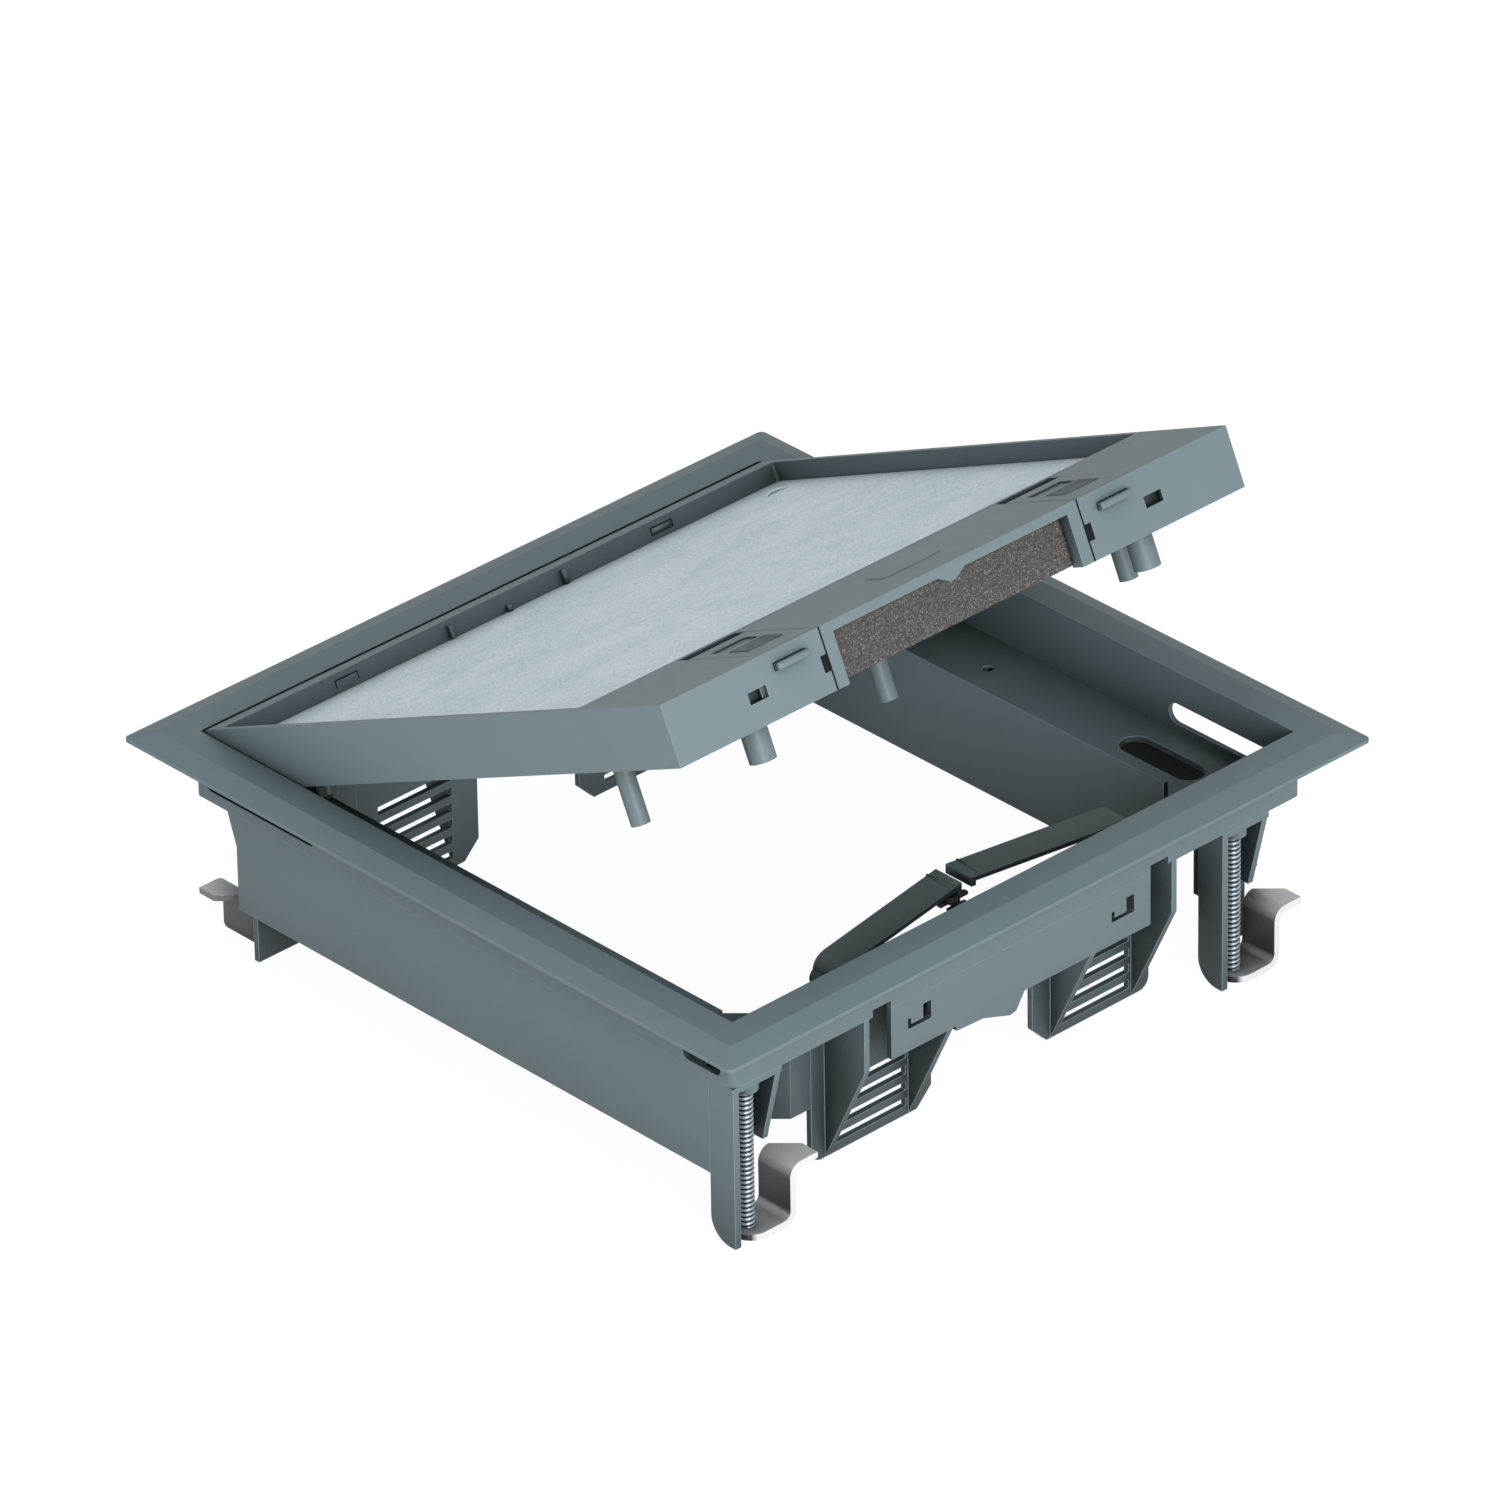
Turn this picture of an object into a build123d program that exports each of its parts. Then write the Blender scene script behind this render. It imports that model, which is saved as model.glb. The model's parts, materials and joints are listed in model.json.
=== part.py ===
"""Floor socket insert: a square flanged frame with four screw clamps and a hinged, recessed lid.

Millimetres, +Z up. The origin is the centre of the frame, level with the feet of the clamp posts.
The front is -Y, where the lid opens and the cords leave. The lid is drawn partly open.
"""
import os
from math import cos, radians, sin

from build123d import *

os.makedirs("parts", exist_ok=True)

# Driving sizes of the frame
opening_side = 231.4        # clear opening of the flange
flange_width = 16.3         # from the opening to the flange's outer edge
lip_height = 74.5           # top of the flange's thin outer lip, above the feet
lip_thickness = 1.0
flange_rise = 2.5           # the flat inner band stands this far above the lip
bevel_width = 7.0           # sloping outer band of the flange
flange_corner = 2.0
skirt_wall = 1.5
skirt_depth = 19.5          # lip top to the underside of the skirt
skirt_corner = 2.5
opening_corner = 0.7
panel_wall = 2.0            # walls that hang below the skirt
long_window_y = 88.0        # windows in the side skirts, measured along each side
long_window_depth = 12.2
long_window_length = 50.0
long_window_height = 7.0
short_window_y = 104.0
short_window_depth = 15.2
short_window_length = 16.0
short_window_height = 4.4
running_gap = 0.3           # between pieces that move past each other
sliver = 0.01               # keeps a cut past the face it opens

# Void in the middle of the frame, where the socket carrier hangs
void_half_x = 91.0          # inner faces of the side channels
void_half_y = 98.0          # inner faces of the louvred plates
web_corner_x = 78.2         # where a louvred wall turns into its diagonal web

# Side channels
ledge_drop = 18.0           # lip top to the top of the ledges
channel_depth = 52.4        # lip top to the lower edge of the outer walls
panel_depth = 54.0          # lip top to the lower edge of the inner walls
channel_reach = 107.0       # long end of each channel
channel_short_end = 102.7   # short end at the skirt, which slopes back as it goes down
channel_short_foot = 99.1
channel_slope_depth = 30.4
ledge_reach = 103.0
ledge_edge_x = 85.0         # the ledges reach in past the inner walls at their ends
end_plate_x = 102.5         # hanging plate at each channel's short end
end_plate_width = 17.0
end_plate_depth = 73.5
ledge_slot_length = 32.4    # oblong holes that take the lid's pegs
ledge_slot_width = 10.5
ledge_slot_x = 101.0
ledge_slot_y = 74.8
ledge_hole_diameter = 3.3

# Front and rear walls with their louvred brackets
band_depth = 37.5
band_half = 53.5            # the deeper band ends at a slot each side
slot_end = 61.0
notch_x = 42.0              # middle of the notches in the bands
slot_top_depth = 17.0
louvre_depth = 74.0
louvre_top_depth = 24.0
louvre_inner_x = 21.0
louvre_outer_x = 70.0
inner_gusset_x = 29.5
outer_gusset_x = 63.5
louvre_slots = 6            # on the rear brackets
front_louvre_slots = 4      # the front ones are closed where the cable arms stand
louvre_slot_height = 3.0
louvre_slot_pitch = 5.6
louvre_foot = 4.5           # middle of the lowest slot above the foot
louvre_clip = 6.0           # clipped inner corner at the foot
louvre_corner = 4.0
web_depth = 54.6
front_web_top_depth = 30.0  # below the short pegs of the closed lid

# Clamp bays: post, platform, screw and claw
left_bay_x = -117.2         # outer face of the post in the front-left bay
right_bay_x = 84.0          # outer face of the post in the front-right bay
post_thickness = 2.3
post_width = 10.2
post_foot_radius = 8.0
gusset_foot = 6.5           # the bay's sloping end wall starts this far back at its foot
bay_length = 19.5
bay_depth = 14.2            # from the wall's outer face to the back of the bay
platform_thickness = 2.0
bay_wall_depth = 47.0
boss_depth = 25.0
boss_radius = 4.2
screw_from_post = 9.5
screw_from_face = 5.2
screw_diameter = 4.8
screw_head_diameter = 7.0
screw_head_height = 1.7
screw_edge = 0.6            # small bevel at the tip and round at the head
recess_length = 4.0         # cross recess in the head
recess_width = 0.9
recess_depth = 1.0
screw_past_base = 1.5       # the screw's tip below the top of the claw's base
claw_thickness = 2.0
claw_width = 13.6
claw_base_start = 4.0       # from the post's outer face
claw_wall_start = 20.5
claw_tongue_end = 31.7
claw_base_depth = 72.0      # lip top to the top of the claw's base
claw_tongue_depth = 54.0    # lip top to the top of the claw's tongue
claw_overhang = 1.8         # the claw stands out past the wall's outer face
claw_bend = 2.4             # inner radius of the strip's bends
claw_corner = 6.5           # rounded front corner of the base
claw_clip = 7.0             # clipped rear corner of the tongue
thread_clearance = 0.08

# Lid, in its own frame: u across, v from the hinge to the rear, w up from the hinge
open_angle = 24.87
pivot_y = 111.5             # pin at the upper end of its slot
pivot_rise = 0.28           # pin above the lip's top
pin_slide_back = 6.0        # the closed lid's pin has moved this far to the front
pin_slide_down = 1.48
lid_side_play = 0.8
lid_front_play = 0.7
lid_top = 3.6
lid_depth = 19.5
lid_wall = 1.5
lid_floor = 2.0
lid_rib = 1.6
rib_columns = 4             # cells under the lid
rib_rows = 3
cell_corner = 1.0
heel_length = 6.0           # solid rear rim by the hinge
front_window_x = 80.4       # square windows in the lid's front face
front_window_drop = 10.3
front_window_width = 7.2
front_window_height = 3.6
plate_drop = 6.2            # lid top to the top of the steel plate
plate_thickness = 2.0
bar_width = 39.9            # front bar, with latches and the cord outlet
outlet_half = 52.5          # half-width of the cord outlet's gap in the bar
outlet_top = 3.0
outlet_seam = 0.3           # line between the outlet and the lid
outlet_lip_half = 5.4       # small lip that points down at the middle of the outlet's front edge
outlet_lip_flat = 1.2
outlet_lip_drop = 2.4
outlet_lip_thickness = 2.0
pad_setback = 21.0          # middle of the bare pad on top of the outlet, from the lid's front
pad_width = 23.0
pad_length = 10.0
pad_corner = 2.0
pad_height = 0.3
outlet_leg = 4.6            # width of the outlet's two legs
outlet_leg_depth = 5.0      # short, so that the closed outlet clears the cable arms
backing_height = 7.0        # rib behind the foam, also above the arms
foam_setback = 3.5
foam_lift = 0.7             # foam's lower edge above the lid's
foam_thickness = 3.2
latch_inner = 53.2
latch_outer = 75.4
latch_plate = 2.4
latch_length = 33.0
finger_slot_setback = 10.0
finger_slot_length = 14.0
finger_slot_width = 7.0
latch_travel = 4.0
latch_cell_end_wall = 2.9   # thicker outer wall of the hollow under each latch
arm_passage_start = 3.0     # behind the lid's front face
arm_passage_length = 30.5
arm_passage_half = 66.0
arm_passage_height = 9.0
nose_inner = 59.4
nose_outer = 71.8
nose_reach = 2.0
nose_height = 2.0
nose_length = 14.0          # from the nose's tip back to the end of its foot
nose_link = 4.0             # the part that carries the nose under the thumb plate
nose_drop = 4.0
catch_play = 2.0            # the catch is wider than the nose by this much
catch_height = 5.0
pin_diameter = 3.0
pin_length = 5.0
pin_seat = 3.0              # depth of the pin's bore in the lid
pin_clearance = 0.05
long_peg_radius = 3.0
long_peg_length = 21.5
short_peg_radius = 4.2
short_peg_length = 11.4
rear_peg_length = 7.3
peg_pad_radius = 5.0
long_peg_setback = 47.0     # from the lid's front face
short_peg_setback = 10.0
rear_peg_distance = 29.5    # from the hinge
long_peg_inset = 14.9       # from the lid's side faces
short_peg_inset = 36.4
rear_peg_inset = 13.9

# Cable arms
arm_width = 11.0
arm_thickness = 1.6
arm_drop = 9.0              # lip top to the top of the arms
arm_root_x = 60.0
arm_gap = 4.0
arm_root_y = 98.0
arm_taper_start = 2.0       # from the arm's root to where its strap starts to lean back
arm_tip_y = 88.5
arm_barrel = 3.0
arm_bend = 5.0
arm_lip = 3.2               # turned-down edge at the free end
arm_seat_height = 4.5

# Worked out from the sizes above
opening_half = opening_side / 2
flange_half = opening_half + flange_width
skirt_half = opening_half + skirt_wall
louvre_face = void_half_y + panel_wall
panel_face = void_half_x + panel_wall
corner_turn = louvre_face + web_corner_x    # x + y along the outer face of the diagonal webs
recess_floor = lid_top - plate_drop - plate_thickness
lid_bottom = lid_top - lid_depth
lid_half = opening_half - lid_side_play
lid_length = pivot_y - pin_slide_back + opening_half - lid_front_play
screw_tip_depth = claw_base_depth + screw_past_base
long_peg_x, long_peg_y = lid_half - long_peg_inset, long_peg_setback - lid_length
short_peg_x, short_peg_y = lid_half - short_peg_inset, short_peg_setback - lid_length
rear_peg_x = lid_half - rear_peg_inset
long_pegs = ((0, long_peg_y), (long_peg_x, long_peg_y), (-long_peg_x, long_peg_y))
short_pegs = ((short_peg_x, short_peg_y), (-short_peg_x, short_peg_y))
rear_pegs = ((rear_peg_x, -rear_peg_distance), (-rear_peg_x, -rear_peg_distance))
pivot = (0, pivot_y, lip_height + pivot_rise)
lid_frame = Plane(pivot, x_dir=(1, 0, 0), z_dir=(0, sin(radians(open_angle)), cos(radians(open_angle))))


def down(depth):
    """Height of a level that lies this far below the top of the lip."""
    return lip_height - depth


def wall_plane(side, distance):
    """Upright plane facing out of the front (side 1) or the rear (side -1): x across, y up."""
    return Plane((0, -side * distance, 0), x_dir=(side, 0, 0), z_dir=(0, -side, 0))


def across_plane(plane, shift):
    """Upright plane across a bay or wall: x from the outer face inwards, y up, normal along plane.x."""
    origin = plane.origin + plane.x_dir * shift
    return Plane(origin, x_dir=plane.y_dir, z_dir=plane.x_dir)


def save(piece, name):
    """Labels a finished piece and writes it."""
    piece.part.label = name
    export_step(piece.part, f"parts/{name}.step")


# Flange and skirt
with BuildPart() as cover_flange:
    with BuildSketch(Plane.XY.offset(down(lip_thickness))):
        RectangleRounded(2 * flange_half, 2 * flange_half, flange_corner)
    extrude(amount=lip_thickness)
    with BuildSketch(Plane.XY.offset(down(0))):
        RectangleRounded(2 * flange_half, 2 * flange_half, flange_corner)
    with BuildSketch(Plane.XY.offset(down(-flange_rise))):
        RectangleRounded(2 * (flange_half - bevel_width), 2 * (flange_half - bevel_width), flange_corner)
    loft()
    with BuildSketch(Plane.XY.offset(down(skirt_depth))):
        RectangleRounded(2 * skirt_half, 2 * skirt_half, skirt_corner)
    extrude(amount=skirt_depth - lip_thickness)
    with BuildSketch(Plane.XY.offset(down(skirt_depth))):
        RectangleRounded(opening_side, opening_side, opening_corner)
    extrude(amount=skirt_depth + flange_rise, mode=Mode.SUBTRACT)
    # Slots that carry on the gaps beside the deeper bands
    for side in (1, -1):
        with BuildSketch(wall_plane(side, opening_half - sliver)):
            slot_middle = (band_half + slot_end) / 2
            with Locations((slot_middle, down(skirt_depth)), (-slot_middle, down(skirt_depth))):
                Rectangle(slot_end - band_half, 2 * (skirt_depth - slot_top_depth))
        extrude(amount=skirt_wall + 2 * sliver, mode=Mode.SUBTRACT)
    # Catches for the latch noses in the front skirt
    catch_middle = (nose_inner + nose_outer) / 2
    catch_width = nose_outer - nose_inner + catch_play
    catch_top = lip_thickness + running_gap
    with BuildSketch(wall_plane(1, opening_half - sliver)):
        with Locations(*((hand * catch_middle, down(catch_top + catch_height / 2)) for hand in (1, -1))):
            Rectangle(catch_width, catch_height)
    extrude(amount=skirt_wall + 2 * sliver, mode=Mode.SUBTRACT)
    # Windows in the side skirts: one long, one short, on each side
    for side in (1, -1):
        with BuildSketch(Plane((side * (opening_half - sliver), 0, 0), x_dir=(0, side, 0), z_dir=(side, 0, 0))):
            with Locations((-long_window_y, down(long_window_depth))):
                SlotOverall(long_window_length, long_window_height)
            with Locations((short_window_y, down(short_window_depth))):
                SlotOverall(short_window_length, short_window_height)
        extrude(amount=skirt_wall + 2 * sliver, mode=Mode.SUBTRACT)
    # Inclined slots that carry the hinge pins
    for side in (1, -1):
        with BuildSketch(Plane((side * (opening_half - sliver), 0, 0), x_dir=(0, 1, 0), z_dir=(1, 0, 0))):
            slot_ends = ((pivot_y, pivot[2]), (pivot_y - pin_slide_back, pivot[2] - pin_slide_down))
            with BuildLine():
                pin_path = Line(*slot_ends)
            SlotCenterToCenter(pin_path.length, pin_diameter + 2 * running_gap, mode=Mode.PRIVATE)
            for end in slot_ends:
                with Locations(end):
                    Circle(pin_diameter / 2 + running_gap)
            make_hull()
        extrude(amount=side * (skirt_wall + running_gap), mode=Mode.SUBTRACT)
save(cover_flange, "cover_flange")


def band(side, with_tab):
    """Deeper band of the front or rear wall, with two notches and the front's lower tab."""
    notch_width, notch_foot, notch_line = 9.6, down(30.0), 1.4
    key_width, key_height = 3.4, 6.2
    end_width, end_height = 1.4, 3.6
    tab_left, tab_right, tab_shoulder, tab_tip = -27.0, 1.0, -16.0, -5.0
    with BuildPart() as piece:
        with BuildSketch(wall_plane(side, skirt_half - panel_wall)):
            with Locations((0, down((skirt_depth + band_depth) / 2))):
                Rectangle(2 * band_half, band_depth - skirt_depth)
            if with_tab:
                with BuildLine():
                    Polyline((tab_left, down(band_depth)), (tab_left, down(band_depth + 1.7)),
                             (tab_shoulder, down(band_depth + 2.2)), (tab_tip, down(band_depth + 6)),
                             (tab_tip + 2.5, down(band_depth + 5.5)), (tab_right, down(band_depth)), close=True)
                make_face()
            # Each notch: a fine line with a wide end to the right and a narrow end to the left
            for middle in (notch_x, -notch_x):
                left, right = middle - notch_width / 2, middle + notch_width / 2
                for at, width, height in ((left, notch_width, notch_line), (left, end_width, end_height),
                                          (right - key_width, key_width, key_height)):
                    with Locations((at, notch_foot)):
                        Rectangle(width, height, align=(Align.MIN, Align.MIN), mode=Mode.SUBTRACT)
        extrude(amount=panel_wall)
    return piece


for name, side in (("front_wall", 1), ("rear_wall", -1)):
    save(band(side, side == 1), name)


def side_channel(side):
    """Side wall, ledge and inner panel as one open channel: side -1 is left, 1 is right."""
    with BuildPart() as piece:
        with BuildSketch(Plane((side * (skirt_half - panel_wall), 0, 0), x_dir=(0, side, 0), z_dir=(side, 0, 0))):
            with BuildLine():
                Polyline((channel_reach, down(skirt_depth)), (channel_reach, down(channel_depth)),
                         (-channel_short_foot, down(channel_depth)),
                         (-channel_short_foot, down(channel_slope_depth)),
                         (-channel_short_end, down(skirt_depth)), close=True)
            make_face()
        extrude(amount=panel_wall)
        with BuildSketch(Plane.XY.offset(down(ledge_drop + panel_wall))):
            with BuildLine():
                Polyline((side * opening_half, -ledge_reach), (side * ledge_edge_x, -ledge_reach),
                         (side * ledge_edge_x, ledge_edge_x - corner_turn),
                         (side * panel_face, panel_face - corner_turn),
                         (side * panel_face, corner_turn - panel_face),
                         (side * ledge_edge_x, corner_turn - ledge_edge_x),
                         (side * ledge_edge_x, ledge_reach), (side * opening_half, ledge_reach), close=True)
            make_face()
            with Locations((side * ledge_slot_x, ledge_slot_y), (side * ledge_slot_x, -ledge_slot_y)):
                SlotOverall(ledge_slot_length, ledge_slot_width, rotation=90, mode=Mode.SUBTRACT)
            with Locations((side * ledge_slot_x, 0)):
                Circle(ledge_hole_diameter / 2, mode=Mode.SUBTRACT)
        extrude(amount=panel_wall)
        with BuildSketch(Plane.XY.offset(down(panel_depth))):
            with Locations((side * (void_half_x + panel_wall / 2), 0)):
                Rectangle(panel_wall, 2 * (corner_turn - panel_face))
        extrude(amount=panel_depth - ledge_drop)
        # Hanging plate at the channel's short end
        with BuildSketch(Plane.XY.offset(down(end_plate_depth))):
            with Locations((side * end_plate_x, -side * (louvre_face - panel_wall / 2))):
                Rectangle(end_plate_width, panel_wall)
        extrude(amount=end_plate_depth - ledge_drop - panel_wall)
    return piece


for name, side in (("left_channel", -1), ("right_channel", 1)):
    save(side_channel(side), name)


def louvre_bracket(side, hand):
    """Louvred plate with two gussets up to the wall; hand is the sign of x seen from outside."""
    with BuildPart() as piece:
        with BuildSketch(wall_plane(side, void_half_y)):
            with BuildLine():
                Polyline((hand * louvre_inner_x, down(louvre_top_depth)),
                         (hand * louvre_inner_x, down(louvre_depth - louvre_clip)),
                         (hand * (louvre_inner_x + louvre_clip), down(louvre_depth)),
                         (hand * louvre_outer_x, down(louvre_depth)),
                         (hand * louvre_outer_x, down(louvre_top_depth)), close=True)
            make_face()
            fillet(vertices().sort_by(Axis.Y)[:2].sort_by(Axis.X)[0 if hand < 0 else -1], radius=louvre_corner)
            slot_length = outer_gusset_x - inner_gusset_x - 2 * panel_wall
            slot_middle = hand * (inner_gusset_x + outer_gusset_x) / 2
            lowest = down(louvre_depth - louvre_foot)
            rows = front_louvre_slots if side == 1 else louvre_slots
            with Locations(*((slot_middle, lowest + row * louvre_slot_pitch) for row in range(rows))):
                Rectangle(slot_length, louvre_slot_height, mode=Mode.SUBTRACT)
            # Raised seat under the root of the cable arm, on the front brackets only
            if side == 1:
                seat_start, seat_end = arm_root_x - arm_barrel, outer_gusset_x + panel_wall / 2
                with Locations((hand * (seat_start + seat_end) / 2, down(louvre_top_depth))):
                    Rectangle(seat_end - seat_start, arm_seat_height, align=(Align.CENTER, Align.MIN))
        extrude(amount=panel_wall)
        reach = skirt_half - louvre_face
        wall = Plane((0, -side * skirt_half, 0), x_dir=(side, 0, 0))
        with BuildSketch(across_plane(wall, hand * outer_gusset_x)):
            with BuildLine():
                Polyline((0, down(skirt_depth)), (0, down(band_depth)), (reach, down(louvre_depth)),
                         (reach, down(skirt_depth)), close=True)
            make_face()
        extrude(amount=panel_wall / 2, both=True)
        with BuildSketch(across_plane(wall, hand * inner_gusset_x)):
            with BuildLine():
                Polyline((panel_wall, down(skirt_depth)), (panel_wall, down(band_depth)), (0, down(band_depth)),
                         (reach, down(louvre_depth)), (reach, down(skirt_depth)), close=True)
            make_face()
        extrude(amount=panel_wall / 2, both=True)
    return piece


def corner_web(side, hand):
    """Plate that carries the louvred wall round the corner to the side channel."""
    inner_turn = corner_turn - panel_wall * 2 ** 0.5
    top_depth = front_web_top_depth if side == 1 else ledge_drop
    with BuildPart() as piece:
        with BuildSketch(Plane.XY.offset(down(web_depth))):
            with BuildLine():
                x, y = side * hand, -side
                Polyline((x * louvre_outer_x, y * louvre_face), (x * web_corner_x, y * louvre_face),
                         (x * panel_face, y * (corner_turn - panel_face)),
                         (x * void_half_x, y * (corner_turn - panel_face)),
                         (x * void_half_x, y * (inner_turn - void_half_x)),
                         (x * (inner_turn - void_half_y), y * void_half_y), (x * louvre_outer_x, y * void_half_y),
                         close=True)
            make_face()
        extrude(amount=web_depth - top_depth)
    return piece


for end, side in (("front", 1), ("rear", -1)):
    for way, hand in (("left", -side), ("right", side)):
        save(louvre_bracket(side, hand), f"{end}_{way}_louvre")
        save(corner_web(side, hand), f"{end}_{way}_web")


def clamp_housing(bay):
    """Post, platform, back wall and gusset that hold one clamp screw."""
    screw_at = (screw_from_post, screw_from_face)
    with BuildPart() as piece:
        with BuildSketch(bay.offset(down(skirt_depth + platform_thickness))):
            Rectangle(bay_length, post_width, align=(Align.MIN, Align.MIN))
            with Locations((panel_wall, 0)):
                Rectangle(bay_length - panel_wall, bay_depth, align=(Align.MIN, Align.MIN))
        extrude(amount=platform_thickness)
        with BuildSketch(across_plane(bay, 0)):
            with BuildLine():
                Polyline((0, down(skirt_depth)), (0, 0), (post_width, 0), (post_width, down(skirt_depth)), close=True)
            make_face()
            fillet(vertices().group_by(Axis.Y)[0].sort_by(Axis.X)[-1], radius=post_foot_radius)
        extrude(amount=post_thickness)
        with BuildSketch(across_plane(bay, bay_length - panel_wall)):
            with BuildLine():
                Polyline((0, down(skirt_depth)), (gusset_foot, down(bay_wall_depth)), (bay_depth, down(bay_wall_depth)),
                         (bay_depth, down(skirt_depth)), close=True)
            make_face()
        extrude(amount=panel_wall)
        with BuildSketch(bay.offset(down(bay_wall_depth))):
            with Locations((panel_wall, bay_depth - panel_wall)):
                Rectangle(bay_length - panel_wall, panel_wall, align=(Align.MIN, Align.MIN))
        extrude(amount=bay_wall_depth - skirt_depth)
        with BuildSketch(bay.offset(down(boss_depth))):
            with Locations(screw_at):
                Circle(boss_radius)
        extrude(amount=boss_depth - skirt_depth)
        with BuildSketch(bay.offset(down(boss_depth))):
            with Locations(screw_at):
                Circle(screw_diameter / 2 + running_gap)
        extrude(amount=boss_depth, mode=Mode.SUBTRACT)
    return piece


def clamp_screw(bay):
    """Clamp screw with a low round head that sits on the platform."""
    with BuildPart() as piece:
        with BuildSketch(bay.offset(down(screw_tip_depth))):
            with Locations((screw_from_post, screw_from_face)):
                Circle(screw_diameter / 2)
        extrude(amount=screw_tip_depth - skirt_depth)
        chamfer(piece.edges().group_by(Axis.Z)[0], length=screw_edge)
        with BuildSketch(bay.offset(down(skirt_depth))):
            with Locations((screw_from_post, screw_from_face)):
                Circle(screw_head_diameter / 2)
        extrude(amount=screw_head_height)
        fillet(piece.edges().group_by(Axis.Z)[-1], radius=screw_edge)
        with BuildSketch(bay.offset(down(skirt_depth - screw_head_height))):
            with Locations((screw_from_post, screw_from_face)):
                Rectangle(recess_length, recess_width)
                Rectangle(recess_width, recess_length)
        extrude(amount=-recess_depth, mode=Mode.SUBTRACT)
    return piece


def clamp_claw(bay):
    """Bent steel strip: a base on the screw, an upright wall and a tongue that grips the floor."""
    front = -claw_overhang
    edge = front + claw_width
    strip_end = claw_wall_start + claw_thickness
    base_top, base_low = down(claw_base_depth), down(claw_base_depth + claw_thickness)
    tongue_top, tongue_low = down(claw_tongue_depth), down(claw_tongue_depth + claw_thickness)
    with BuildPart() as piece:
        side_view = Plane(bay.origin + bay.y_dir * edge, x_dir=bay.x_dir, z_dir=-bay.y_dir)
        with BuildSketch(side_view):
            with BuildLine():
                Polyline((claw_base_start, base_top), (claw_wall_start, base_top), (claw_wall_start, tongue_top),
                         (claw_tongue_end, tongue_top), (claw_tongue_end, tongue_low), (strip_end, tongue_low),
                         (strip_end, base_low), (claw_base_start, base_low), close=True)
            make_face()
            insides = ((claw_wall_start, base_top), (strip_end, tongue_low))
            outsides = ((strip_end, base_low), (claw_wall_start, tongue_top))
            for corners, radius in ((insides, claw_bend), (outsides, claw_bend + claw_thickness)):
                fillet([vertices().sort_by_distance(corner)[0] for corner in corners], radius=radius)
        extrude(amount=claw_width)
        with BuildSketch(bay.offset(base_low - sliver)):
            with Locations((screw_from_post, screw_from_face)):
                Circle(screw_diameter / 2 + thread_clearance)
        extrude(amount=claw_thickness + 2 * sliver, mode=Mode.SUBTRACT)
        # Clipped rear corner of the tongue and rounded front corner of the base
        with BuildSketch(bay.offset(tongue_low - sliver)):
            with BuildLine():
                Polyline((claw_tongue_end + sliver, edge + sliver), (claw_tongue_end - claw_clip, edge + sliver),
                         (claw_tongue_end - claw_clip, edge), (claw_tongue_end, edge - claw_clip),
                         (claw_tongue_end + sliver, edge - claw_clip), close=True)
            make_face()
        extrude(amount=claw_thickness + 2 * sliver, mode=Mode.SUBTRACT)
        uprights = piece.edges().filter_by(Axis.Z)
        base_edges = uprights.filter_by(lambda e: abs(bay.to_local_coords(e.center()).X - claw_base_start) < claw_bend)
        fillet(base_edges.sort_by_distance(bay.origin)[0], radius=claw_corner)
    return piece


bays = {
    "front_left": Plane((left_bay_x, -skirt_half, 0), x_dir=(1, 0, 0)),
    "front_right": Plane((right_bay_x, -skirt_half, 0), x_dir=(1, 0, 0)),
    "rear_right": Plane((-left_bay_x, skirt_half, 0), x_dir=(-1, 0, 0)),
    "rear_left": Plane((-right_bay_x, skirt_half, 0), x_dir=(-1, 0, 0)),
}
for place, bay in bays.items():
    save(clamp_housing(bay), f"{place}_clamp_post")
    save(clamp_screw(bay), f"{place}_clamp_screw")
    save(clamp_claw(bay), f"{place}_claw")


def cable_arm(hand):
    """Flat arm that holds the cords at the outlet: a barrel at its root, a bend and a tapered strap."""
    with BuildPart() as piece:
        top = down(arm_drop)
        barrel_z = down(louvre_top_depth) + arm_seat_height + arm_barrel + running_gap
        tip = hand * arm_gap / 2
        start = hand * (arm_root_x + arm_thickness)
        inside = hand * (arm_root_x - arm_thickness)
        with BuildSketch(Plane((0, -arm_root_y - arm_width / 2, 0), x_dir=(1, 0, 0), z_dir=(0, -1, 0))):
            with BuildLine():
                Polyline((start, barrel_z), (start, top), (tip, top), (tip, top - arm_lip),
                         (tip + hand * arm_thickness, top - arm_lip),
                         (tip + hand * arm_thickness, top - arm_thickness), (inside, top - arm_thickness),
                         (inside, barrel_z), close=True)
            make_face()
            outer_corner = vertices().group_by(Axis.Y)[-1].sort_by(Axis.X)[0 if hand < 0 else -1]
            fillet(outer_corner, radius=arm_bend)
        extrude(amount=-(arm_width + arm_root_y - arm_tip_y))
        with BuildSketch(Plane.XY.offset(barrel_z)):
            with BuildLine():
                half = arm_width / 2
                root = hand * (arm_root_x - arm_taper_start)
                Polyline((start, -arm_root_y - half), (root, -arm_root_y - half), (tip, -arm_tip_y - half),
                         (tip, -arm_tip_y + half), (root, -arm_root_y + half), (start, -arm_root_y + half), close=True)
            make_face()
        extrude(amount=top - barrel_z, mode=Mode.INTERSECT)
        with BuildSketch(Plane((0, -arm_root_y - arm_width / 2, 0), x_dir=(1, 0, 0), z_dir=(0, -1, 0))):
            with Locations((hand * arm_root_x, barrel_z)):
                Circle(arm_barrel)
        extrude(amount=-arm_width)
    return piece


save(cable_arm(-1), "left_cable_arm")
save(cable_arm(1), "right_cable_arm")


def lid_level(height):
    """Plane across the lid at this height above the hinge pin."""
    return lid_frame.offset(height)


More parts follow.
